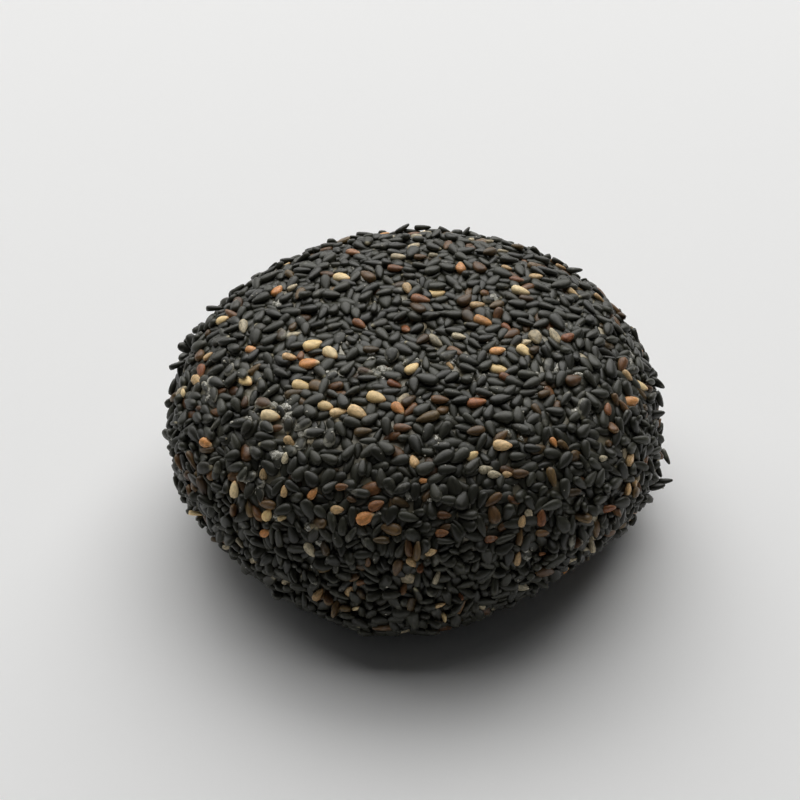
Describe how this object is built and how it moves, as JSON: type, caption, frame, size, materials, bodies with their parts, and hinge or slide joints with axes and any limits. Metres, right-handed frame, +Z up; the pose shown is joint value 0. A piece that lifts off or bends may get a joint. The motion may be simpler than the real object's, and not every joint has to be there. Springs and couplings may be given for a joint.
{
  "type": "mochi rice cake",
  "caption": "Thick round mochi rice cake, pressed by hand and coated all over in black sesame seeds, resting flat.",
  "frame": {"origin": "on the surface that the cake rests on, under the middle of its bounding box", "axes": "+Z up through the cake's short height; the side shown first faces -Y and +X is to its right"},
  "size_m": [0.0708, 0.07, 0.0337],
  "materials": {
    "sesame_coat": "matte seed husks with a faint waxy sheen; black with scattered brown, russet, tan and cream seeds"
  },
  "bodies": {
    "root": {"mochi": "sesame_coat"}
  },
  "joints": []
}
